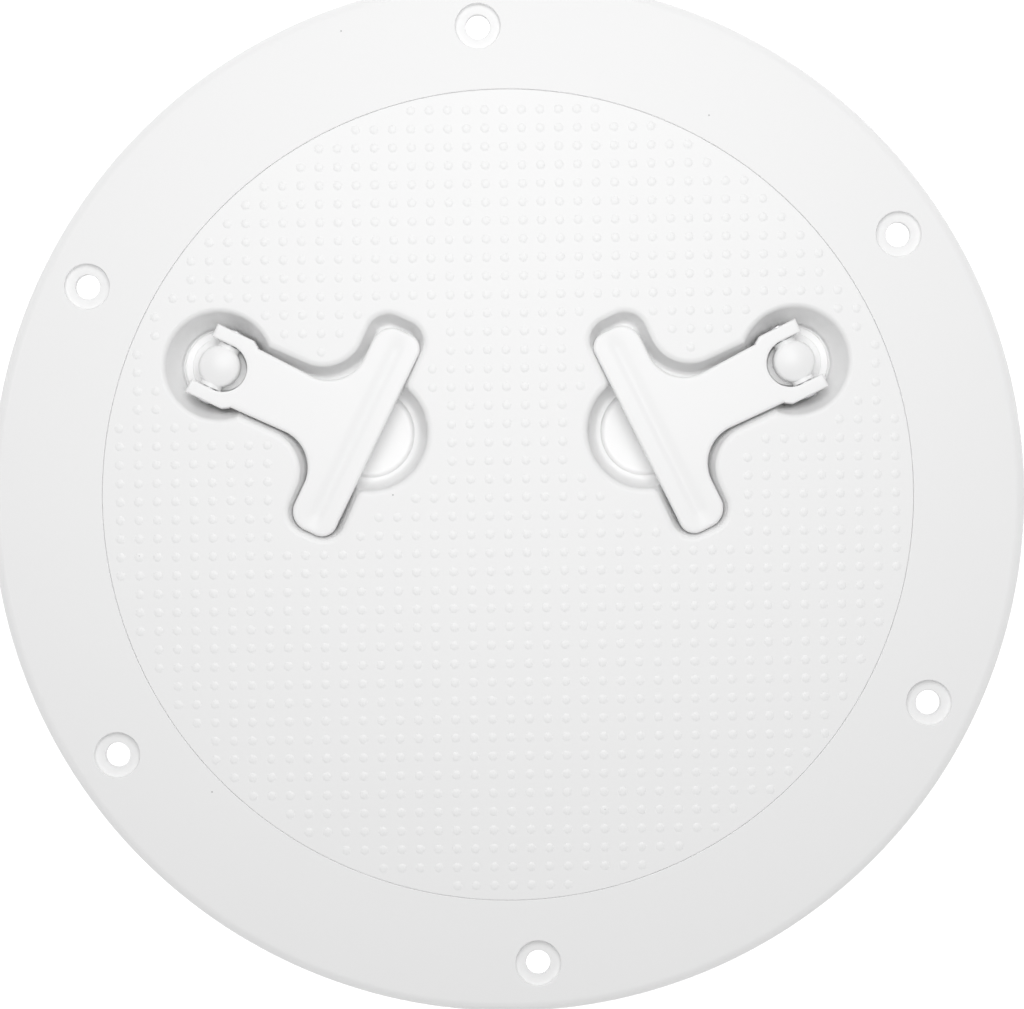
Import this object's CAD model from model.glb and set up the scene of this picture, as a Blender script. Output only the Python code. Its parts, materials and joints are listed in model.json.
"""Looks of a round deck inspection plate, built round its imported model. Metres, +Z up out of the
deck. Every piece sits where the solid that it stands for sits."""

import json
from math import asin, atan2, ceil, cos, degrees, hypot, pi, radians, sin, sqrt

import bmesh
import bpy
from mathutils import Matrix, Vector
from mathutils.geometry import delaunay_2d_cdt


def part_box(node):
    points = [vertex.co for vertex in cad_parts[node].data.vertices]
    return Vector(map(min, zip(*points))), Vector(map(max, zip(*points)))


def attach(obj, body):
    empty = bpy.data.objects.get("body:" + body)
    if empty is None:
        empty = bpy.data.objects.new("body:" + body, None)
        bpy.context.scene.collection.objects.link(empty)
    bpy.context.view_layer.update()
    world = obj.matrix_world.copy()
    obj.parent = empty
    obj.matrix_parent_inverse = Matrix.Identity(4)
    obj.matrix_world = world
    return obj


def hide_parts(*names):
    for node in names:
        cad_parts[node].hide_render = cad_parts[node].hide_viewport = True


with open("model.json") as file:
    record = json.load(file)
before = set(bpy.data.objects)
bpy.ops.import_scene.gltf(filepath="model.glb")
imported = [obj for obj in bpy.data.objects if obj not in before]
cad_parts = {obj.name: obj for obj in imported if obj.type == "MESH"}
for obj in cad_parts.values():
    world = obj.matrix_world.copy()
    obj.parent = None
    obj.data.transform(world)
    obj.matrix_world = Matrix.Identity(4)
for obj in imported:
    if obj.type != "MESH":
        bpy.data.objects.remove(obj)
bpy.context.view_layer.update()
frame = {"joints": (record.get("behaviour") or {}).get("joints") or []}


# Deck frame: one moulding in white ABS, with the flange that is screwed to the deck, the neck, the
# ledge for the gasket and the downturned lip that the latches pull against. Its face has the fine
# matte grain of an etched mould.
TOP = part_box("deck_frame")[1].z
FLANGE_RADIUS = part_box("deck_frame")[1].x
FLANGE_THICKNESS = 0.005
FLANGE_ROUND = 0.0028
NECK_RADIUS = 0.116
NECK_WALL = 0.003
BORE_RADIUS = 0.1104
BORE_ROUND = 0.00024
LEDGE_Z = TOP - 0.0085
LEDGE_THICKNESS = 0.003
OPENING_RADIUS = 0.102
LIP_Z = TOP - 0.0184
LIP_WIDTH = 0.003
GUSSETS = 18
GUSSET_THICKNESS = 0.002
SCREW_HOLES = 6
FIRST_HOLE = radians(93.7)
HOLE_CIRCLE = 0.1278
HOLE_RADIUS = 0.0033
HOLE_SEAT_RADIUS = 0.0062
HOLE_SEAT_DEPTH = 0.0022
GUSSET_RAISE = 0.0006
OVERSHOOT = 0.001  # How far a cutting shape passes the face that it cuts.
CREASE_ANGLE = radians(34)
SPECK_RADIUS = 0.00022
SPECK_TONE = 0.5


def arc(centre, radius, start, end, steps=8):
    """Points on an arc, start and end in degrees."""
    turns = [radians(start + (end - start) * i / steps) for i in range(steps + 1)]
    return [(centre[0] + radius * cos(a), centre[1] + radius * sin(a)) for a in turns]


def spun(profile, steps, start=0.0, sweep=2 * pi):
    """A closed outline of (radius, height) points turned about the Z axis."""
    bm = bmesh.new()
    verts = [bm.verts.new((r * cos(start), r * sin(start), z)) for r, z in profile]
    face = bm.faces.new(verts)
    whole = sweep == 2 * pi
    geometry = face.edges[:] + verts if whole else [face] + face.edges[:] + verts
    bmesh.ops.spin(bm, geom=geometry, cent=(0, 0, 0), axis=(0, 0, 1), angle=sweep,
                   steps=steps, use_merge=whole, use_duplicate=False)
    if whole:
        bm.faces.remove(face)
    return bm


def stacked(rings):
    """A skin over a stack of closed rings with the same number of points."""
    bm = bmesh.new()
    loops = [[bm.verts.new(point) for point in ring] for ring in rings]
    for lower, upper in zip(loops, loops[1:]):
        for i in range(len(lower)):
            bm.faces.new((lower[i - 1], lower[i], upper[i], upper[i - 1]))
    bm.faces.new(loops[0][::-1])
    bm.faces.new(loops[-1])
    return bm


def prism(outline, low, high):
    return stacked([[(x, y, z) for x, y in outline] for z in (low, high)])


def as_piece(name, bm):
    bmesh.ops.remove_doubles(bm, verts=bm.verts, dist=1e-6)
    bmesh.ops.recalc_face_normals(bm, faces=bm.faces)
    mesh = bpy.data.meshes.new(name)
    bm.to_mesh(mesh)
    bm.free()
    piece = bpy.data.objects.new(name, mesh)
    bpy.context.scene.collection.objects.link(piece)
    return piece


def shape(piece, operation, bm, place=Matrix.Identity(4)):
    """Join a bmesh on to a piece or cut it out, for good."""
    tool = as_piece("tool", bm)
    tool.matrix_world = place
    modifier = piece.modifiers.new("shape", "BOOLEAN")
    modifier.operation, modifier.solver, modifier.object = operation, "EXACT", tool
    bpy.context.view_layer.update()
    graph = bpy.context.evaluated_depsgraph_get()
    piece.data = bpy.data.meshes.new_from_object(piece.evaluated_get(graph))
    piece.modifiers.clear()
    bpy.data.objects.remove(tool)


def combined(operation, first, *others):
    """One closed shape made of several."""
    whole = as_piece("whole", first)
    for other in others:
        shape(whole, operation, other)
    bm = bmesh.new()
    bm.from_mesh(whole.data)
    bpy.data.objects.remove(whole)
    return bm


def moved(bm, x):
    bm.transform(Matrix.Translation((x, 0, 0)))
    return bm


def several(build, places):
    """Copies of one built shape in a single bmesh, at each of the places."""
    whole = bmesh.new()
    for place in places:
        part = build()
        part.transform(place)
        mesh = bpy.data.meshes.new("part")
        part.to_mesh(mesh)
        part.free()
        whole.from_mesh(mesh)
        bpy.data.meshes.remove(mesh)
    return whole


def round_places(count, first, radius=0.0):
    turns = [Matrix.Rotation(first + 2 * pi * i / count, 4, "Z") for i in range(count)]
    return [turn @ Matrix.Translation((radius, 0, 0)) for turn in turns]


def soften(piece):
    """Smooth shading that keeps flat faces flat and edges over the crease angle sharp."""
    bm = bmesh.new()
    bm.from_mesh(piece.data)
    bmesh.ops.remove_doubles(bm, verts=bm.verts, dist=2e-6)
    bmesh.ops.dissolve_degenerate(bm, dist=1e-6, edges=bm.edges)
    bm.to_mesh(piece.data)
    bm.free()
    piece.data.shade_smooth()
    piece.data.set_sharp_from_angle(angle=CREASE_ANGLE)
    weighted = piece.modifiers.new("flat faces stay flat", "WEIGHTED_NORMAL")
    weighted.keep_sharp = True
    weighted.weight = 60


class Link:
    """A shader socket; Python arithmetic on it adds Math nodes."""

    def __init__(self, finish, socket):
        self.finish, self.socket = finish, socket

    def maths(self, operation, first, second=0.0):
        settings = {"operation": operation}
        return self.finish.node("ShaderNodeMath", settings, {0: first, 1: second})

    def __add__(self, other):
        return self.maths("ADD", self, other)

    __radd__ = __add__

    def __sub__(self, other):
        return self.maths("SUBTRACT", self, other)

    def __rsub__(self, other):
        return self.maths("SUBTRACT", other, self)

    def __mul__(self, other):
        return self.maths("MULTIPLY", self, other)

    __rmul__ = __mul__

    def __truediv__(self, other):
        return self.maths("DIVIDE", self, other)

    def __lt__(self, other):
        return self.maths("LESS_THAN", self, other)


class Finish:
    """A material, or the world, whose nodes are added one at a time."""

    def __init__(self, name, owner=None):
        self.owner = owner or bpy.data.materials.new(name)
        self.owner.use_nodes = True
        self.tree = self.owner.node_tree

    def node(self, kind, settings=None, values=None, output=0):
        added = self.tree.nodes.new(kind)
        for name, value in (settings or {}).items():
            setattr(added, name, value)
        self.fill(added, values or {})
        return Link(self, added.outputs[output])

    def fill(self, node, values):
        for key, value in values.items():
            if isinstance(value, Link):
                self.tree.links.new(value.socket, node.inputs[key])
            else:
                node.inputs[key].default_value = value

    def shader(self, **values):
        names = {key.replace("_", " "): value for key, value in values.items()}
        self.fill(self.tree.nodes["Principled BSDF"], names)

    def place(self):
        return self.node("ShaderNodeTexCoord", output="Object")

    def noise(self, scale, detail=2.0, roughness=0.5):
        values = {"Vector": self.place(), "Scale": scale, "Detail": detail, "Roughness": roughness}
        return self.node("ShaderNodeTexNoise", None, values)

    def between(self, factor, low, high):
        """A colour between two tones, each a grey, a colour or another node's colour."""
        tones = []
        for tone in (low, high):
            grey = (tone,) * 3 if isinstance(tone, float) else tone
            tones.append((*grey, 1) if isinstance(grey, tuple) else grey)
        values = {0: factor, 6: tones[0], 7: tones[1]}
        return self.node("ShaderNodeMix", {"data_type": "RGBA"}, values, 2)

    def away(self, *point):
        """Distance from a point of the piece."""
        values = {0: self.place(), 1: point}
        return self.node("ShaderNodeVectorMath", {"operation": "DISTANCE"}, values, 1)

    def below(self, level, reach):
        """0 above a level, rising to 1 a reach below it."""
        height = self.node("ShaderNodeSeparateXYZ", None, {0: self.place()}, 2)
        return self.node("ShaderNodeClamp", None, {0: (level - height) / reach})

    def bump(self, height, strength, distance):
        values = {"Height": height, "Strength": strength, "Distance": distance}
        return self.node("ShaderNodeBump", None, values)


def moulded_plastic(name, dark, light, roughness, grain, relief, deep=None, specks=()):
    """Moulded plastic: even colour with a faint cloudiness, a few specks of grit in its upper face,
    and the fine grain of the mould. Deep in hollows, out of reach of hand and sun, it is whiter."""
    finish = Finish(name)
    cloud = finish.noise(22.0, 4.0, 0.6)
    fine = finish.noise(grain, 3.0, 0.65)
    tone = finish.between(cloud * 0.6 + fine * 0.4, dark, light)
    if deep:
        tone = finish.between(finish.below(TOP - 0.002, 0.003), tone, deep)
    for x, y in specks:
        tone = finish.between(finish.away(x, y, TOP) < SPECK_RADIUS, tone, SPECK_TONE)
    finish.shader(Base_Color=tone, Roughness=roughness + (fine - 0.5) * 0.16 + (cloud - 0.5) * 0.1,
                  Normal=finish.bump(fine, 0.35, relief))
    return finish


def flange_profile():
    inner = NECK_RADIUS - NECK_WALL
    under = TOP - FLANGE_THICKNESS
    chamfer, fillet = 0.0005, 0.0012
    points = [(inner + chamfer, 0), (NECK_RADIUS - chamfer, 0), (NECK_RADIUS, chamfer)]
    points += arc((NECK_RADIUS + fillet, under - fillet), fillet, 180, 90, 5)
    points += arc((FLANGE_RADIUS - chamfer, under + chamfer), chamfer, 270, 360, 3)
    points += arc((FLANGE_RADIUS - FLANGE_ROUND, TOP - FLANGE_ROUND), FLANGE_ROUND, 0, 90, 10)
    points += arc((BORE_RADIUS + BORE_ROUND, TOP - BORE_ROUND), BORE_ROUND, 90, 180, 4)
    points += [(BORE_RADIUS, LEDGE_Z), (OPENING_RADIUS + chamfer, LEDGE_Z)]
    points += [(OPENING_RADIUS, LEDGE_Z - chamfer), (OPENING_RADIUS, LIP_Z + chamfer)]
    points += [(OPENING_RADIUS + chamfer, LIP_Z), (OPENING_RADIUS + LIP_WIDTH - chamfer, LIP_Z)]
    points += [(OPENING_RADIUS + LIP_WIDTH, LIP_Z + chamfer)]
    ledge_low = LEDGE_Z - LEDGE_THICKNESS
    corner = OPENING_RADIUS + LIP_WIDTH + fillet
    points += arc((corner, ledge_low - fillet), fillet, 180, 90, 4)
    points += arc((inner - fillet, ledge_low - fillet), fillet, 90, 0, 4)
    return points + [(inner, chamfer)]


def gusset():
    low, high = LIP_Z + GUSSET_RAISE, LEDGE_Z - LEDGE_THICKNESS / 2
    near, far = OPENING_RADIUS + LIP_WIDTH / 2, NECK_RADIUS - NECK_WALL / 2
    half = GUSSET_THICKNESS / 2
    return prism([(near, -half), (far, -half), (far, half), (near, half)], low, high)


def counterbore():
    seat_z, low = TOP - HOLE_SEAT_DEPTH, TOP - FLANGE_THICKNESS - OVERSHOOT
    foot, edge = 0.0003, 0.0002
    points = [(0, low), (HOLE_RADIUS, low)]
    points += [(HOLE_RADIUS, seat_z - foot), (HOLE_RADIUS + foot / 2, seat_z)]
    points += [(HOLE_SEAT_RADIUS - foot, seat_z), (HOLE_SEAT_RADIUS, seat_z + foot)]
    points += arc((HOLE_SEAT_RADIUS + edge, TOP - edge), edge, 180, 90, 3)
    return spun(points + [(HOLE_SEAT_RADIUS + edge, TOP + OVERSHOOT), (0, TOP + OVERSHOOT)], 48)


flange = as_piece("flange_moulding", spun(flange_profile(), 240))
shape(flange, "UNION", several(gusset, round_places(GUSSETS, pi / GUSSETS)))
hole_places = round_places(SCREW_HOLES, FIRST_HOLE, HOLE_CIRCLE)
shape(flange, "DIFFERENCE", several(counterbore, hole_places))
soften(flange)
frame_white = moulded_plastic("etched white ABS", 0.915, 0.945, 0.5, 2600.0, 0.00004,
                              specks=[(0.0547, 0.1032), (-0.0805, -0.0809), (-0.0454, 0.1261)])
flange.data.materials.append(frame_white.owner)
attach(flange, "body")
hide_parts("deck_frame")


# Lid gasket: a flat ring of black rubber with a sealing bead, laid on the frame's ledge so that
# the lid's edge presses on it.
GASKET_WIDTH = 0.005
GASKET_ROUND = 0.0003
GASKET_BEAD = 0.00104
GASKET_BEAD_SINK = 0.0006

gasket_low, gasket_high = (corner.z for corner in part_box("lid_gasket"))
gasket_middle = (OPENING_RADIUS + BORE_RADIUS) / 2
near, far = gasket_middle - GASKET_WIDTH / 2, gasket_middle + GASKET_WIDTH / 2
foot = gasket_low + GASKET_ROUND
flat_z = gasket_high - (gasket_high - gasket_low) / 4
section = arc((near + GASKET_ROUND, foot), GASKET_ROUND, 180, 270, 3)
section += arc((far - GASKET_ROUND, foot), GASKET_ROUND, 270, 360, 3)
section += [(far, flat_z)]
section += arc((gasket_middle, flat_z - GASKET_BEAD_SINK), GASKET_BEAD, 35, 145, 8)
section += [(near, flat_z)]
gasket = as_piece("rim_gasket", spun(section, 192))
soften(gasket)
rubber = Finish("black rubber")
bloom = rubber.noise(160.0, 5.0, 0.7)
rubber.shader(Base_Color=rubber.between(bloom, 0.018, 0.045), Roughness=0.62 + bloom * 0.25,
              Normal=rubber.bump(rubber.noise(1800.0), 0.3, 0.00003))
gasket.data.materials.append(rubber.owner)
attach(gasket, "body")
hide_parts("lid_gasket")


# Lid: one moulding in white ABS. A skin with two T-shaped pockets for the handles, each running
# into a round basin at the post and a finger bowl under the cross bar; below it are the skirt,
# stiffening ribs and two tongues that hook under the frame's lip.
LID_RADIUS = 0.11036
LID_TURN = radians(0.5)
LID_ROUND = 0.00024
SKIN = 0.0035
SKIRT_RADIUS = 0.1016
SKIRT_WALL = 0.0025
SKIRT_Z = TOP - 0.0145
SEAT_GAP = 0.0003
LID_SEAT_Z = gasket_high + SEAT_GAP
LID_SEAT_ROUND = 0.0003
RIBS = 8
RIB_HUB_RADIUS = 0.018
RIB_HUB_WALL = 0.0022
RIB_THICKNESS = 0.0022
RIB_Z = TOP - 0.012
TONGUE_SPREAD = radians(20.0)
TONGUE_WIDTH = 0.022
TONGUE_TIP = 0.1051
TONGUE_THICKNESS = 0.0027
TONGUE_EASE = 0.0006
EDGE_BREAK = 0.0004

POCKET_DEPTH = 0.0064
POCKET_HALF_WIDTH = 0.0101
POCKET_NEAR = 0.0331
POCKET_FAR = 0.04865
POCKET_HALF_LENGTH = 0.0319
POCKET_CORNER = 0.0058
POCKET_FILLET = 0.0117
POCKET_WALL = 0.0025
POCKET_LEAN = 0.48
POCKET_FOOT = 0.0014
RIM_ROUND = 0.0018
LAND_ROUND = 0.0028
BASIN_RADIUS = 0.0160
BASIN_RIM = 0.0030
BASIN_DEPTH = 0.0132
BASIN_WAIST = 0.0110
BASIN_COVE = 0.0030
BASIN_FLOOR_RADIUS = 0.0104
BASIN_WALL = 0.0014
BOSS_RADIUS = 0.01075
BOSS_LENGTH = 0.0038
SHAFT_BORE = 0.0053
SEAL_SECTION = 0.0015
SEAL_MIDDLE = 0.00765
BOWL_OFFSET = 0.0448
BOWL_RADIUS = 0.0175
BOWL_DEPTH = 0.0100
BOWL_EDGE = 0.0121
BOWL_COVE = 0.0013
BOWL_STEP = 0.0012
BOWL_LIP_ROUND = 0.0002
LAND_OVERLAP = 0.00008

basin_floor = TOP - BASIN_DEPTH
boss_z = basin_floor - BOSS_LENGTH
lifts = {joint["name"].split("_")[0]: joint for joint in frame["joints"]
         if joint["name"].endswith("_handle_lift")}
hubs = {side: Vector((joint["pos_m"][0], joint["pos_m"][1], 0)) for side, joint in lifts.items()}


def latch_frame(side):
    """Where one latch's pocket sits: at its hub, with local X towards the lid's middle."""
    hub = hubs[side]
    return Matrix.Translation(hub) @ Matrix.Rotation(atan2(-hub.y, -hub.x), 4, "Z")


def pocket_outline(grow):
    """The T with round lands where it opens into basin and bowl, each edge grown outward."""
    basin, bowl = BASIN_RADIUS - RIM_ROUND, BOWL_RADIUS - RIM_ROUND
    land, width = LAND_ROUND, POCKET_HALF_WIDTH
    root_x = sqrt((basin + land - LAND_OVERLAP) ** 2 - (width + land) ** 2)
    root_turn = 180 - degrees(atan2(width + land, root_x))
    tip_x = POCKET_FAR + land - BOWL_OFFSET
    tip_y = sqrt((bowl + land - LAND_OVERLAP) ** 2 - tip_x ** 2)
    tip_turn = 180 - degrees(atan2(tip_y, tip_x))
    side = [(0, -width * 0.7)]
    side += arc((root_x, -width - land), land - grow, root_turn, 90, 6)
    fillet_centre = (POCKET_NEAR - POCKET_FILLET, -width - POCKET_FILLET)
    side += arc(fillet_centre, POCKET_FILLET - grow, 90, 0, 16)
    low = -POCKET_HALF_LENGTH + POCKET_CORNER
    side += arc((POCKET_NEAR + POCKET_CORNER, low), POCKET_CORNER + grow, 180, 270, 10)
    side += arc((POCKET_FAR - POCKET_CORNER, low), POCKET_CORNER + grow, 270, 360, 10)
    side += arc((POCKET_FAR + land, -tip_y), land - grow, 180, tip_turn, 6)
    return side + [(x, -y) for x, y in reversed(side)]


def pocket_steps():
    """Depth and outward growth, from above the lid down its rounded rim and leaning wall."""
    steps = [(-OVERSHOOT, RIM_ROUND), (0.0, RIM_ROUND)]
    for turn in range(15, 91, 15):
        rise, run = 1 - cos(radians(turn)), 1 - sin(radians(turn))
        steps.append((RIM_ROUND * rise, RIM_ROUND * run))
    lean = POCKET_LEAN * (POCKET_DEPTH - POCKET_FOOT - RIM_ROUND)
    for turn in range(0, 91, 30):
        rise, run = 1 - sin(radians(turn)), 1 - cos(radians(turn))
        steps.append((POCKET_DEPTH - POCKET_FOOT * rise, -lean - POCKET_FOOT * run))
    return steps


def pocket():
    """The room for the handle. The three hollows of a latch end at different heights above the lid,
    and their shells at different heights inside the skin, so that no two end faces coincide."""
    rings = [[(x, y, TOP - depth) for x, y in pocket_outline(grow)]
             for depth, grow in reversed(pocket_steps())]
    return stacked(rings)


def basin_hollow():
    groove, groove_z = SEAL_SECTION / 2 + SEAT_GAP, basin_floor - SEAL_SECTION
    points = [(0, boss_z - OVERSHOOT), (SHAFT_BORE, boss_z - OVERSHOOT), (SHAFT_BORE, basin_floor)]
    points += [(SEAL_MIDDLE - groove, basin_floor), (SEAL_MIDDLE - groove, groove_z)]
    points += [(SEAL_MIDDLE + groove, groove_z), (SEAL_MIDDLE + groove, basin_floor)]
    run = BASIN_WAIST - BASIN_FLOOR_RADIUS
    for turn in range(0, 76, 15):
        points.append((BASIN_FLOOR_RADIUS + run * sin(radians(turn)),
                       basin_floor + BASIN_COVE * (1 - cos(radians(turn)))))
    for turn in range(12, 91, 13):
        points.append((BASIN_RADIUS - RIM_ROUND * cos(radians(turn)),
                       TOP - BASIN_RIM * (1 - sin(radians(turn)))))
    high = TOP + 1.4 * OVERSHOOT
    return spun(points + [(BASIN_RADIUS, high), (0, high)], 96)


def bowl_hollow():
    low = TOP - BOWL_DEPTH
    step, lip = low + BOWL_STEP, BOWL_LIP_ROUND
    points = [(0, low)] + arc((BOWL_EDGE - BOWL_COVE, low + BOWL_COVE), BOWL_COVE, 270, 342, 6)
    points += arc((BOWL_EDGE + lip, step - lip), lip, 180, 90, 3)
    run, rise = BOWL_RADIUS - RIM_ROUND - BOWL_EDGE - 2 * lip, BOWL_DEPTH - BOWL_STEP - RIM_ROUND
    for turn in range(10, 91, 10):
        points.append((BOWL_EDGE + 2 * lip + run * sin(radians(turn)),
                       step + rise * (1 - cos(radians(turn)))))
    points += arc((BOWL_RADIUS, TOP - RIM_ROUND), RIM_ROUND, 165, 90, 7)
    high = TOP + 1.8 * OVERSHOOT
    return spun(points + [(BOWL_RADIUS, high), (0, high)], 96)


def pocket_shell():
    """The walls that hang under the skin round a pocket."""
    return prism(pocket_outline(POCKET_WALL), TOP - POCKET_DEPTH - POCKET_WALL, TOP - SKIN / 2)


def basin_shell():
    low, waist = basin_floor - BASIN_WALL, BASIN_WAIST + BASIN_WALL
    points = [(0, boss_z), (BOSS_RADIUS - EDGE_BREAK, boss_z), (BOSS_RADIUS, boss_z + EDGE_BREAK)]
    points += [(BOSS_RADIUS, low), (waist - EDGE_BREAK, low), (waist, low + EDGE_BREAK)]
    points += [(waist, basin_floor + BASIN_COVE)]
    high = TOP - SKIN / 2 - 0.0002
    return spun(points + [(BASIN_RADIUS - RIM_ROUND + BASIN_WALL, high), (0, high)], 64)


def bowl_shell():
    low, edge = TOP - BOWL_DEPTH - POCKET_WALL, BOWL_EDGE + POCKET_WALL
    points = [(0, low), (edge - EDGE_BREAK, low), (edge, low + EDGE_BREAK)]
    high = TOP - SKIN / 2 - 0.0003
    return spun(points + [(BOWL_RADIUS - RIM_ROUND + POCKET_WALL, high), (0, high)], 64)


def lid_profile():
    inside, under, web = SKIRT_RADIUS - SKIRT_WALL, TOP - SKIN, 0.001
    points = [(0, under), (inside - web, under), (inside, under - web), (inside, SKIRT_Z)]
    points += [(SKIRT_RADIUS - EDGE_BREAK, SKIRT_Z), (SKIRT_RADIUS, SKIRT_Z + EDGE_BREAK)]
    points += [(SKIRT_RADIUS, LID_SEAT_Z)]
    seat_edge = (LID_RADIUS - LID_SEAT_ROUND, LID_SEAT_Z + LID_SEAT_ROUND)
    points += arc(seat_edge, LID_SEAT_ROUND, 270, 360, 3)
    points += arc((LID_RADIUS - LID_ROUND, TOP - LID_ROUND), LID_ROUND, 0, 90, 4)
    return points + [(0, TOP)]


def rib():
    half = RIB_THICKNESS / 2
    reach = SKIRT_RADIUS - SKIRT_WALL / 2
    outline = [(RIB_HUB_RADIUS, -half), (reach, -half), (reach, half), (RIB_HUB_RADIUS, half)]
    return prism(outline, RIB_Z, TOP - SKIN / 2)


def tongue():
    inside, neck = SKIRT_RADIUS - SKIRT_WALL + EDGE_BREAK, SKIRT_RADIUS - EDGE_BREAK
    high, root = LIP_Z - SEAT_GAP, SKIRT_Z + OVERSHOOT
    low, ramp, nose = high - TONGUE_THICKNESS, TONGUE_TIP - 2 * TONGUE_EASE, high - 0.0008
    points = [(inside, low), (TONGUE_TIP - TONGUE_EASE, low), (TONGUE_TIP, low + TONGUE_EASE)]
    points += [(TONGUE_TIP, nose), (ramp, high), (neck, high), (neck, root), (inside, root)]
    sweep = TONGUE_WIDTH / SKIRT_RADIUS
    return spun(points, 12, -sweep / 2, sweep)


def rib_hub():
    near, far = RIB_HUB_RADIUS - RIB_HUB_WALL / 2, RIB_HUB_RADIUS + RIB_HUB_WALL / 2
    high = TOP - SKIN / 2
    return spun([(near, RIB_Z), (far, RIB_Z), (far, high), (near, high)], 48)


lid_turn = Matrix.Rotation(LID_TURN, 4, "Z")
lid = as_piece("lid_moulding", spun(lid_profile(), 240))
shape(lid, "UNION", rib_hub(), lid_turn)
shape(lid, "UNION", several(rib, round_places(RIBS, 0.0)), lid_turn)
tongue_places = [Matrix.Rotation(spread - pi / 2, 4, "Z")
                 for spread in (-TONGUE_SPREAD, TONGUE_SPREAD)]
shape(lid, "UNION", several(tongue, tongue_places), lid_turn)
for side in lifts:
    shell = combined("UNION", pocket_shell(), basin_shell(), moved(bowl_shell(), BOWL_OFFSET))
    shape(lid, "UNION", shell, latch_frame(side))
for side in lifts:
    hollow = combined("UNION", pocket(), basin_hollow(), moved(bowl_hollow(), BOWL_OFFSET))
    shape(lid, "DIFFERENCE", hollow, latch_frame(side))
soften(lid)
lid_white = moulded_plastic("moulded white ABS", 0.92, 0.945, 0.42, 1500.0, 0.00002, deep=0.985,
                            specks=[(-0.0313, -0.0001), (0.0264, -0.0856), (-0.1003, -0.0167)])
lid.data.materials.append(lid_white.owner)
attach(lid, "body")
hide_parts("lid")


# Tread: nearly 1200 low round studs, moulded with the lid in rows 5 mm apart so that a wet foot
# grips. They stop short of the lid's edge and of every hollow's rounded rim.
STUD_PITCH = 0.005025
TREAD_TURN = radians(0.75)
TREAD_SHIFT = 0.00076
STUD_RADIUS = 0.0012
STUD_HEIGHT = 0.00018
STUD_SIDES = 12
TREAD_RADIUS = 0.1080
STUD_MARGIN = 0.0022


def edge_distance(x, y, outline):
    """Distance from a point to a closed outline, negative inside it."""
    nearest, inside = 1.0, False
    for (ax, ay), (bx, by) in zip(outline, outline[1:] + outline[:1]):
        dx, dy = bx - ax, by - ay
        along = max(0.0, min(1.0, ((x - ax) * dx + (y - ay) * dy) / (dx * dx + dy * dy + 1e-18)))
        nearest = min(nearest, hypot(x - ax - along * dx, y - ay - along * dy))
        if (ay > y) != (by > y) and x < ax + dx * (y - ay) / dy:
            inside = not inside
    return -nearest if inside else nearest


rim_outline = pocket_outline(RIM_ROUND)


def clear_of_hollows(point):
    for side in lifts:
        local = latch_frame(side).inverted() @ point
        margin = min(hypot(local.x, local.y) - BASIN_RADIUS,
                     hypot(local.x - BOWL_OFFSET, local.y) - BOWL_RADIUS,
                     edge_distance(local.x, local.y, rim_outline))
        if margin < STUD_MARGIN:
            return False
    return True


def stud():
    """A shallow dome with a soft foot."""
    bm = bmesh.new()
    rings = []
    for share, height in ((1.1, -0.05), (1.0, 0.12), (0.86, 0.55), (0.55, 0.9)):
        rings.append([bm.verts.new((STUD_RADIUS * share * cos(a), STUD_RADIUS * share * sin(a),
                                    STUD_HEIGHT * height))
                      for a in (2 * pi * i / STUD_SIDES for i in range(STUD_SIDES))])
    crown = bm.verts.new((0, 0, STUD_HEIGHT))
    for lower, upper in zip(rings, rings[1:]):
        for i in range(STUD_SIDES):
            bm.faces.new((lower[i - 1], lower[i], upper[i], upper[i - 1]))
    for i in range(STUD_SIDES):
        bm.faces.new((rings[-1][i - 1], rings[-1][i], crown))
    return bm


tread_turn = Matrix.Rotation(TREAD_TURN, 3, "Z")
reach = ceil(TREAD_RADIUS / STUD_PITCH)
stud_places = []
for row in range(-reach, reach + 1):
    for column in range(-reach, reach + 1):
        point = tread_turn @ Vector((column * STUD_PITCH, row * STUD_PITCH, 0))
        point.y -= TREAD_SHIFT
        if point.length <= TREAD_RADIUS and clear_of_hollows(point):
            stud_places.append(Matrix.Translation((point.x, point.y, TOP)))
tread = as_piece("lid_tread", several(stud, stud_places))
tread.data.shade_smooth()
tread.data.materials.append(lid_white.owner)
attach(tread, "body")


# Shaft seals: black rubber O-rings, pressed into the groove that each basin's floor has under the
# spindle's flange.
SEAL_PINCH = 0.00015


def turn_frame(side):
    """Where one latch's turning pieces sit: at the hub, with local X along the handle's stem."""
    axis = lifts[side]["axis"]
    return Matrix.Translation(hubs[side]) @ Matrix.Rotation(atan2(axis[0], -axis[1]), 4, "Z")


def dressed(name, bm, side, body, node, finish):
    """A finished piece of one latch, made at the origin and set at its hub."""
    bm.transform(turn_frame(side))
    piece = as_piece(name, bm)
    soften(piece)
    settle(piece, body, node, finish)


def settle(piece, body, node, finish):
    piece.data.materials.clear()
    piece.data.materials.append(finish.owner)
    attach(piece, body)
    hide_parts(node)


for side in lifts:
    seal_radius = SEAL_SECTION / 2 - SEAL_PINCH
    centre = (SEAL_MIDDLE, basin_floor - SEAL_SECTION + SEAT_GAP + seal_radius)
    ring = spun(arc(centre, seal_radius, 0, 345, 23), 72)
    dressed(side + "_seal", ring, side, side + "_spindle", side + "_shaft_seal", rubber)


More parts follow.
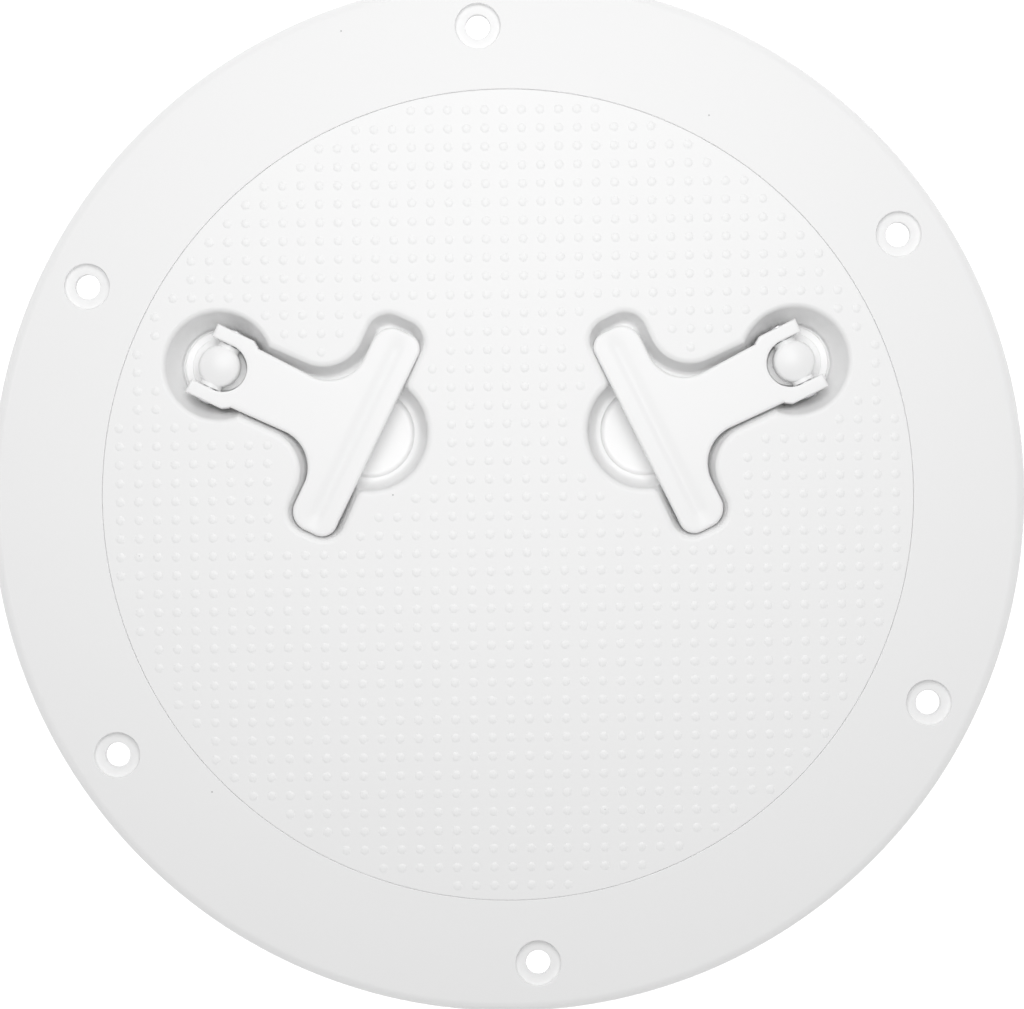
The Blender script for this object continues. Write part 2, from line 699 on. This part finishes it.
# Spindles: one satin nylon moulding each, a domed post that the handle is pinned to, with a shelf
# that the stem swings past, a collar and a flange that bears on the basin's floor, a shaft through
# the lid and a square drive for the cam.
POST_RADIUS = 0.0057
POST_TOP = TOP - 0.001
POST_DOME = 0.0007
POST_ROUND = 0.0013
SHELF_TOP = TOP - 0.0072
SHELF_FOOT = 0.002
SHELF_HALF_WIDTH = 0.0062
SHELF_OFFSET = 0.0013
SHELF_INSET = 0.001
PIN_BOSS = 0.0031
COLLAR_RADIUS = 0.0080
COLLAR_HEIGHT = 0.0006
COLLAR_FILLET = 0.0005
FOOT_RADIUS = 0.0100
FOOT_THICKNESS = 0.0014
FOOT_EASE = 0.0003
SHAFT_RADIUS = 0.005
DRIVE = 0.00677
PIN_Z = TOP - 0.005
PIN_BORE = 0.0023
CAM_TOP = LIP_Z - SEAT_GAP
CAM_LOW = CAM_TOP - 0.005
SCREW_BORE = 0.0023
SCREW_REACH = 0.0064

pin_place = Matrix.Translation((0, 0, PIN_Z))


def square(half):
    return [(-half, -half), (half, -half), (half, half), (-half, half)]


def across(outline, half_length):
    """An outline of (x, height) points drawn out along Y to both sides."""
    return stacked([[(x, y, z) for x, z in outline] for y in (-half_length, half_length)])


def circle(radius, steps=36):
    return arc((0, 0), radius, 0, 360 - 360 / steps, steps - 1)


def shelf():
    """Fills the room between post and stem, and is turned about the pin so that the stem clears
    it."""
    half, back = SHELF_HALF_WIDTH, SHELF_HALF_WIDTH - SHELF_INSET
    swept = [(SHELF_OFFSET + half * cos(radians(turn)), half * sin(radians(turn)))
             for turn in range(-90, 91, 6)]
    wheel = spun([(0, -half)] + swept + [(0, half)], 96)
    wheel.transform(pin_place @ Matrix.Rotation(pi / 2, 4, "X"))
    outline = arc((SHELF_OFFSET, 0), half, -90, 90, 24) + [(0, back), (0, -back)]
    return combined("INTERSECT", prism(outline, basin_floor + SHELF_FOOT, SHELF_TOP), wheel)


def post_profile():
    """Radius and height, from the shaft's foot over flange and collar up to the middle of the
    dome."""
    flange_low = basin_floor + SEAT_GAP
    flange_top = flange_low + FOOT_THICKNESS
    collar_top = flange_top + COLLAR_HEIGHT
    span = POST_RADIUS - POST_ROUND
    dome = (span ** 2 + POST_DOME ** 2) / (2 * POST_DOME)
    lean = degrees(asin(span / dome))
    shoulder = POST_TOP - POST_DOME - POST_ROUND
    points = [(0, CAM_TOP), (SHAFT_RADIUS, CAM_TOP), (SHAFT_RADIUS, flange_low)]
    points += [(FOOT_RADIUS - FOOT_EASE, flange_low), (FOOT_RADIUS, flange_low + FOOT_EASE)]
    points += arc((FOOT_RADIUS - EDGE_BREAK, flange_top - EDGE_BREAK), EDGE_BREAK, 0, 90, 3)
    points += [(COLLAR_RADIUS, flange_top)]
    points += arc((COLLAR_RADIUS - FOOT_EASE, collar_top - FOOT_EASE), FOOT_EASE, 0, 90, 3)
    fillet = (POST_RADIUS + COLLAR_FILLET, collar_top + COLLAR_FILLET)
    points += arc(fillet, COLLAR_FILLET, 270, 180, 4)
    points += arc((POST_RADIUS - POST_ROUND, shoulder), POST_ROUND, 0, 90 - lean, 6)
    return points + arc((0, POST_TOP - dome), dome, 90 - lean, 90, 8)[1:]


nylon = moulded_plastic("satin white nylon", 0.93, 0.95, 0.34, 900.0, 0.00001)

for side in lifts:
    spindle = as_piece(side + "_post", spun(post_profile(), 72))
    drive_low = CAM_LOW + SEAT_GAP
    shape(spindle, "UNION", prism(square(DRIVE / 2), drive_low, CAM_TOP + OVERSHOOT))
    tapped = [(0, drive_low - OVERSHOOT), (SCREW_BORE, drive_low - OVERSHOOT)]
    tapped += [(SCREW_BORE, drive_low + SCREW_REACH), (0, drive_low + SCREW_REACH)]
    shape(spindle, "DIFFERENCE", spun(tapped, 32))
    shape(spindle, "UNION", shelf())
    shape(spindle, "UNION", across(circle(PIN_BOSS), SHELF_HALF_WIDTH), pin_place)
    shape(spindle, "DIFFERENCE", across(circle(PIN_BORE), 2 * POST_RADIUS), pin_place)
    spindle.data.transform(turn_frame(side))
    soften(spindle)
    settle(spindle, side + "_spindle", side + "_spindle", nylon)


# Thrust washers and latch cams: dark grey glass-filled nylon under the lid. The washer takes the
# pull of the cam, whose arm reaches out beneath the frame's lip with a ramp that finds its edge.
THRUST_RADIUS = 0.0098
CAM_HUB = 0.009
CAM_ROOT = 0.007
CAM_END = 0.0055
CAM_TIP = -0.0218
CAM_RAMP = 0.0016
CAM_EASE = 0.0004
WASHER_EASE = 0.0001
SHARP_ANGLE = radians(40)

grey = moulded_plastic("grey glass-filled nylon", 0.065, 0.105, 0.5, 1100.0, 0.00003)


def eased(bm, width):
    """Round every sharp edge."""
    bmesh.ops.remove_doubles(bm, verts=bm.verts, dist=1e-6)
    bmesh.ops.recalc_face_normals(bm, faces=bm.faces)
    sharp = [edge for edge in bm.edges if edge.calc_face_angle(0.0) > SHARP_ANGLE]
    bmesh.ops.bevel(bm, geom=sharp, offset=width, segments=3, profile=0.5, affect="EDGES",
                    clamp_overlap=True)
    return bm


def washer(inner, outer, low, high):
    section = [(inner, low), (outer, low), (outer, high), (inner, high)]
    return eased(spun(section, 72), WASHER_EASE)


def cam():
    """Hub and arm, with the ramp at the tip and the square hole for the drive."""
    root_turn = degrees(asin(CAM_ROOT / CAM_HUB))
    round_end, ramp_end = CAM_TIP + CAM_END / 2, CAM_TIP + 2 * CAM_RAMP
    outline = arc((0, 0), CAM_HUB, root_turn - 180, 180 - root_turn, 40)
    outline += arc((round_end, CAM_END / 2), CAM_END / 2, 90, 180, 8)
    outline += arc((round_end, -CAM_END / 2), CAM_END / 2, 180, 270, 8)
    slope = [(CAM_TIP - OVERSHOOT, CAM_TOP - CAM_RAMP), (CAM_TIP - OVERSHOOT, CAM_TOP + OVERSHOOT)]
    slope += [(ramp_end, CAM_TOP + OVERSHOOT), (ramp_end, CAM_TOP)]
    drive = prism(square(DRIVE / 2 + SEAT_GAP), CAM_LOW - OVERSHOOT, CAM_TOP + OVERSHOOT)
    blank = prism(outline, CAM_LOW, CAM_TOP)
    return eased(combined("DIFFERENCE", blank, across(slope, 2 * CAM_ROOT), drive), CAM_EASE)


for side in lifts:
    thrust = washer(SHAFT_BORE, THRUST_RADIUS, CAM_TOP + SEAT_GAP, boss_z - SEAT_GAP)
    dressed(side + "_thrust", thrust, side, side + "_spindle", side + "_thrust_washer", grey)
    dressed(side + "_cam", cam(), side, side + "_spindle", side + "_latch_cam", grey)


# Cam washers, lock washers and hexagon screws: stainless steel, turned and rolled. They hold each
# cam on its square drive.
SCREW_RADIUS = 0.002
THREAD_PITCH = 0.0007
THREAD_DEPTH = 0.0003
THREAD_SIDES = 32
THREAD_RINGS = 8  # Per turn of the thread.
THREAD_END = 0.0005
HEAD_CORNER = 0.008 / sqrt(3)
HEAD_HEIGHT = 0.0035
HEAD_CROWN = 0.0005
HEAD_CHAMFER = 0.0004
HEAD_EASE = 0.00015
WASHER_RADIUS = 0.008
WASHER_THICKNESS = 0.0012
LOCK_RADIUS = 0.0046
LOCK_THICKNESS = 0.0011
LOCK_RISE = 0.0002
LOCK_GAP = 7
LOCK_STEPS = 60
LOCK_EASE = 0.00012

washer_low = CAM_LOW - SEAT_GAP - WASHER_THICKNESS
lock_low = washer_low - SEAT_GAP - LOCK_THICKNESS - LOCK_RISE
head_top = lock_low - SEAT_GAP

steel = Finish("turned stainless steel")
brushed = steel.noise(420.0, 3.0, 0.6)
steel.shader(Base_Color=steel.between(brushed, (0.50, 0.50, 0.51), (0.64, 0.64, 0.65)),
             Metallic=1.0, Roughness=0.24 + brushed * 0.2,
             Normal=steel.bump(brushed, 0.25, 0.00002))


def lock_washer():
    """A split ring whose cut ends stand a little apart."""
    corners = [(SCREW_BORE, 0.0), (LOCK_RADIUS, 0.0)]
    corners += [(LOCK_RADIUS, LOCK_THICKNESS), (SCREW_BORE, LOCK_THICKNESS)]
    rings = []
    for i in range(LOCK_STEPS + 1):
        turn = radians(LOCK_GAP + (360 - 2 * LOCK_GAP) * i / LOCK_STEPS)
        lift = LOCK_RISE * i / LOCK_STEPS
        rings.append([(r * cos(turn), r * sin(turn), lock_low + z + lift) for r, z in corners])
    return eased(stacked(rings), LOCK_EASE)


def threaded_shank():
    """A shank whose radius follows the thread round and up."""
    rings = []
    low, high = head_top - OVERSHOOT / 2, CAM_LOW + SCREW_REACH
    steps = ceil((high - low) / THREAD_PITCH * THREAD_RINGS)
    for i in range(steps + 1):
        z = low + (high - low) * i / steps
        ring = []
        for j in range(THREAD_SIDES):
            turn = 2 * pi * j / THREAD_SIDES
            phase = (z / THREAD_PITCH - j / THREAD_SIDES) % 1.0
            cut = THREAD_DEPTH * abs(2 * phase - 1) + max(0.0, z - high + THREAD_END)
            radius = SCREW_RADIUS - cut
            ring.append((radius * cos(turn), radius * sin(turn), z))
        rings.append(ring)
    return stacked(rings)


def hex_head():
    """Six flats that draw in towards the crown at the bottom."""
    crown = head_top - HEAD_HEIGHT
    rings = [(HEAD_CORNER - HEAD_CROWN, crown), (HEAD_CORNER, crown + HEAD_CHAMFER)]
    rings += [(HEAD_CORNER, head_top)]
    return eased(stacked([[(x, y, z) for x, y in circle(r, 6)] for r, z in rings]), HEAD_EASE)


for side in lifts:
    spindle_body = side + "_spindle"
    ring = washer(SCREW_BORE, WASHER_RADIUS, washer_low, washer_low + WASHER_THICKNESS)
    dressed(side + "_plain_washer", ring, side, spindle_body, side + "_cam_washer", steel)
    dressed(side + "_split_washer", lock_washer(), side, spindle_body, side + "_lock_washer", steel)
    screw = as_piece(side + "_hex_screw", hex_head())
    shape(screw, "UNION", threaded_shank())
    screw.data.transform(turn_frame(side))
    soften(screw)
    settle(screw, spindle_body, side + "_cam_screw", steel)


# Hinge pins: plain stainless pins with eased ends, pressed through both tines of a fork and the
# post between them. Their ends stand a little proud.
PIN_RADIUS = 0.002
PIN_HALF_LENGTH = 0.0107
PIN_EASE = 0.0003

for side in lifts:
    rod = across(circle(PIN_RADIUS), PIN_HALF_LENGTH)
    rod.transform(pin_place)
    dressed(side + "_pin", eased(rod, PIN_EASE), side, side + "_handle", side + "_hinge_pin",
            steel)


# Handles: satin white nylon mouldings. A T with an undercut rim to lift by, a round bead along the
# far edge of the bar, a soft valley beside it, and a fork whose square-ended tines hold the pin.
HANDLE_TOP = TOP - 0.0003
HANDLE_THICKNESS = 0.005
HANDLE_EDGE = 0.0024
UNDERCUT_SLOPE = 0.7
UNDERCUT = (HANDLE_THICKNESS - HANDLE_EDGE) / UNDERCUT_SLOPE
HANDLE_ROUND = 0.0008
STEM_ROOT = 0.0091
STEM_WAIST = 0.0084
BAR_NEAR = 0.0348
BAR_FAR = 0.0478
BAR_HALF_LENGTH = 0.0302
NEAR_CORNER = 0.0055
FAR_CORNER = 0.0042
WEB_FILLET = 0.0107
EYE_RADIUS = 0.0052
EYE_CORNER = 0.0008
TINE_OUTER = 0.0103
TINE_LENGTH = 0.0056
FORK_LENGTH = 0.0075
SLOT_HALF_WIDTH = 0.0065
SLOT_CENTRE = 0.0013
SLOT_ROUND = 0.0004
KNUCKLE_REACH = 0.0161
BEAD_WIDTH = 0.0058
VALLEY_DEPTH = 0.00035
VALLEY_FALL = 0.0036
VALLEY_RISE = 0.0020
VALLEY_STOP = 0.001
VALLEY_FADE = 0.004
RELIEF_GRID = 0.0007
RELIEF_START = -12


def handle_outline(grow):
    root, waist, fillet = STEM_ROOT + grow, STEM_WAIST + grow, WEB_FILLET - grow
    near, far, half = BAR_NEAR - grow, BAR_FAR + grow, BAR_HALF_LENGTH + grow
    near_corner, far_corner = NEAR_CORNER + grow, FAR_CORNER + grow
    side = [(-grow, -root)]
    side += arc((near - fillet, -waist - fillet), fillet, 90, 0, 18)
    side += arc((near + near_corner, near_corner - half), near_corner, 180, 270, 12)
    side += arc((far - far_corner, far_corner - half), far_corner, 270, 360, 12)
    return side + [(x, -y) for x, y in reversed(side)]


def top_edge():
    """Height and outward growth over the handle's rounded top edge."""
    layers = []
    for turn in range(0, 91, 15):
        rise, draw = 1 - sin(radians(turn)), 1 - cos(radians(turn))
        layers.append((HANDLE_TOP - HANDLE_ROUND * rise, -HANDLE_ROUND * draw))
    return layers


def tee():
    """The T itself, from its eased foot over the undercut rim to the top."""
    low, rim, foot = HANDLE_TOP - HANDLE_THICKNESS, HANDLE_TOP - HANDLE_EDGE, EDGE_BREAK
    layers = [(low, -UNDERCUT - foot), (low + foot * 0.3, -UNDERCUT - foot * 0.3)]
    layers += [(rim - foot, -foot / UNDERCUT_SLOPE), (rim - foot * 0.3, -foot * 0.2)]
    layers += [(rim + foot * 0.4, 0.0)] + top_edge()
    return stacked([[(x, y, z) for x, y in handle_outline(grow)] for z, grow in layers])


def fork():
    """The fork seen from above, with its step in to the stem and softly rounded top edges, as far
    as its outline seen from the side reaches."""
    rings = []
    for z, grow in [(PIN_Z - 2 * EYE_RADIUS, 0.0)] + top_edge():
        grow *= 0.6
        side = [(-2 * EYE_RADIUS, -TINE_OUTER - grow), (TINE_LENGTH, -TINE_OUTER - grow)]
        side += [(FORK_LENGTH, -STEM_ROOT - grow)]
        side += [(FORK_LENGTH + OVERSHOOT, 0.2 * grow - STEM_ROOT)]
        rings.append([(x, y, z) for x, y in side + [(x, -y) for x, y in reversed(side)]])
    eye = arc((0, PIN_Z), EYE_RADIUS, 180, 330, 24)
    eye += [(FORK_LENGTH, HANDLE_TOP - HANDLE_THICKNESS), (FORK_LENGTH, HANDLE_TOP)]
    eye += arc((EYE_CORNER - EYE_RADIUS, HANDLE_TOP - EYE_CORNER), EYE_CORNER, 90, 180, 8)
    return combined("INTERSECT", across(eye, 2 * TINE_OUTER), stacked(rings))


def knuckle():
    """The web between the tines that carries the stem, from inside the eye to the stem's foot."""
    inside, rim = EYE_RADIUS - EDGE_BREAK, HANDLE_TOP - HANDLE_EDGE
    outline = [(inside / 2, PIN_Z - inside * 0.866), (KNUCKLE_REACH, HANDLE_TOP - HANDLE_THICKNESS)]
    outline += [(KNUCKLE_REACH, rim), (inside / 2, rim)]
    return across(outline, STEM_WAIST - UNDERCUT)


def slot_hollow():
    """The room for the post, with an eased rim."""
    layers = [(PIN_Z - 2 * EYE_RADIUS, 0.0), (HANDLE_TOP - SLOT_ROUND, 0.0)]
    layers += [(HANDLE_TOP - SLOT_ROUND * 0.5, SLOT_ROUND * 0.13)]
    layers += [(HANDLE_TOP - SLOT_ROUND * 0.13, SLOT_ROUND * 0.5)]
    layers += [(HANDLE_TOP, SLOT_ROUND), (HANDLE_TOP + OVERSHOOT, SLOT_ROUND)]
    rings = []
    for z, grow in layers:
        half = SLOT_HALF_WIDTH + grow
        outline = arc((SLOT_CENTRE, 0), half, -90, 90, 24)
        outline += [(-3 * EYE_RADIUS, half), (-3 * EYE_RADIUS, -half)]
        rings.append([(x, y, z) for x, y in outline])
    return stacked(rings)


def relief(x, y):
    """How far the handle's top lies below its rim at one place."""
    fade = max(0.0, min(1.0, (BAR_HALF_LENGTH - VALLEY_STOP - abs(y)) / VALLEY_FADE))
    valley = x - BAR_FAR + BEAD_WIDTH
    away = valley / (VALLEY_RISE if valley > 0 else -VALLEY_FALL)
    return VALLEY_DEPTH * fade * (0.5 + 0.5 * cos(pi * min(1.0, away)))


def carve_top(piece):
    """Lay a fine mesh over the flat top, inside its edge, and let the relief down into it."""
    bm = bmesh.new()
    bm.from_mesh(piece.data)
    bmesh.ops.remove_doubles(bm, verts=bm.verts, dist=2e-6)
    top = [face for face in bm.faces if face.normal.z > 0.999
           and abs(face.calc_center_median().z - HANDLE_TOP) < 1e-5]
    rim = [edge for edge in bm.edges if sum(face in top for face in edge.link_faces) == 1]
    rim_verts = list(dict.fromkeys(vert for edge in rim for vert in edge.verts))
    number = {vert: i for i, vert in enumerate(rim_verts)}
    segments = [(edge.verts[0].co, edge.verts[1].co) for edge in rim]
    points = [vert.co.xy for vert in rim_verts]
    columns = ceil(BAR_FAR / RELIEF_GRID) - RELIEF_START
    rows = ceil(BAR_HALF_LENGTH / RELIEF_GRID)
    for i in range(RELIEF_START, columns):
        for j in range(-rows, rows + 1):
            point = Vector((i * RELIEF_GRID, (j + 0.5 * (i % 2)) * RELIEF_GRID))
            if all(off_line(point, a, b) > RELIEF_GRID * 0.6 for a, b in segments):
                points.append(point)
    links = [(number[edge.verts[0]], number[edge.verts[1]]) for edge in rim]
    places, _, triangles, *_ = delaunay_2d_cdt(points, links, [], 1, 1e-9)
    bmesh.ops.delete(bm, geom=top, context="FACES_ONLY")
    verts = [bm.verts.new((x, y, HANDLE_TOP)) for x, y in places]
    for corners in triangles:
        bm.faces.new([verts[i] for i in corners])
    inner = verts[len(rim_verts):]
    for vert in inner:
        vert.co.z -= relief(vert.co.x, vert.co.y)
    bmesh.ops.remove_doubles(bm, verts=bm.verts, dist=2e-6)
    bmesh.ops.delete(bm, geom=[e for e in bm.edges if not e.link_faces], context="EDGES")
    bmesh.ops.recalc_face_normals(bm, faces=bm.faces)
    bm.to_mesh(piece.data)
    bm.free()


def off_line(point, start, end):
    """Distance of a point from a segment in the plan."""
    along = (end - start).xy
    share = max(0.0, min(1.0, (point - start.xy).dot(along) / max(along.length_squared, 1e-18)))
    return (point - start.xy - share * along).length


for side in lifts:
    handle = as_piece(side + "_tee_handle", tee())
    shape(handle, "UNION", fork())
    shape(handle, "UNION", knuckle())
    shape(handle, "DIFFERENCE", slot_hollow())
    shape(handle, "DIFFERENCE", across(circle(PIN_BORE), 2 * TINE_OUTER), pin_place)
    carve_top(handle)
    handle.data.transform(turn_frame(side))
    soften(handle)
    settle(handle, side + "_handle", side + "_handle", nylon)


# Floor, light and camera: a white sweep in a light tent, under a broad soft lamp that stands a
# little beyond twelve o'clock, seen straight from above.
TENT = 0.20
TENT_TOP = 0.87
TENT_HORIZON = 0.75
FLOOR_GLOW = 0.44
FLOOR_SHOWN = 0.4  # What the floor glows more where it is seen directly.
LAMP_PLACE = Vector((0.0, 0.17, 0.55))
LAMP_WIDTH = 0.4
LAMP_POWER = 1.40
VIEW_WIDTH = 0.27856
CAMERA_DISTANCE = 0.95
CAMERA_PLACE = (0.0011, -0.0027, TOP + CAMERA_DISTANCE)
SENSOR_WIDTH = 36.0

bpy.ops.mesh.primitive_plane_add(size=6.0, location=(0, 0, 0))
floor = bpy.context.object
floor.name = "floor"
white_floor = Finish("white floor")


def seen_directly(finish):
    """1 for rays that the camera, a reflection or a clear piece sends, 0 for soft light."""
    rays = [finish.node("ShaderNodeLightPath", output=name)
            for name in ("Is Camera Ray", "Is Glossy Ray", "Is Transmission Ray")]
    return rays[0] + rays[1] + rays[2]


white_floor.shader(Base_Color=(0.80, 0.80, 0.80, 1), Roughness=0.9,
                   Emission_Color=(1, 1, 1, 1),
                   Emission_Strength=FLOOR_GLOW + seen_directly(white_floor) * FLOOR_SHOWN)
floor.data.materials.append(white_floor.owner)

world = bpy.data.worlds.new("light tent")
bpy.context.scene.world = world
tent = Finish("light tent", world)
aim = tent.node("ShaderNodeTexCoord", output="Generated")
height = tent.node("ShaderNodeSeparateXYZ", None, {0: aim}, 2)
high = height.maths("MAXIMUM", height, 0.0)
low = 1.0 - high
glow = TENT + TENT_HORIZON * low * low + TENT_TOP * high.maths("POWER", high, 8.0)
direct = seen_directly(tent)
tent.fill(tent.tree.nodes["Background"],
          {"Color": (1, 1, 1, 1), "Strength": glow + direct * (1.0 - glow)})

lamp_data = bpy.data.lights.new("broad lamp", "AREA")
lamp_data.shape = "DISK"
lamp_data.size = LAMP_WIDTH
lamp_data.energy = LAMP_POWER
lamp = bpy.data.objects.new("broad lamp", lamp_data)
bpy.context.scene.collection.objects.link(lamp)
lamp.location = LAMP_PLACE
lamp.rotation_euler = (Vector((0, 0, TOP)) - LAMP_PLACE).to_track_quat("-Z", "Y").to_euler()
lamp.visible_camera = False

camera_data = bpy.data.cameras.new("camera")
camera_data.sensor_width = SENSOR_WIDTH
camera_data.lens = SENSOR_WIDTH * CAMERA_DISTANCE / VIEW_WIDTH
camera = bpy.data.objects.new("camera", camera_data)
bpy.context.scene.collection.objects.link(camera)
camera.location = CAMERA_PLACE
bpy.context.scene.camera = camera
bpy.context.scene.view_settings.view_transform = "Standard"
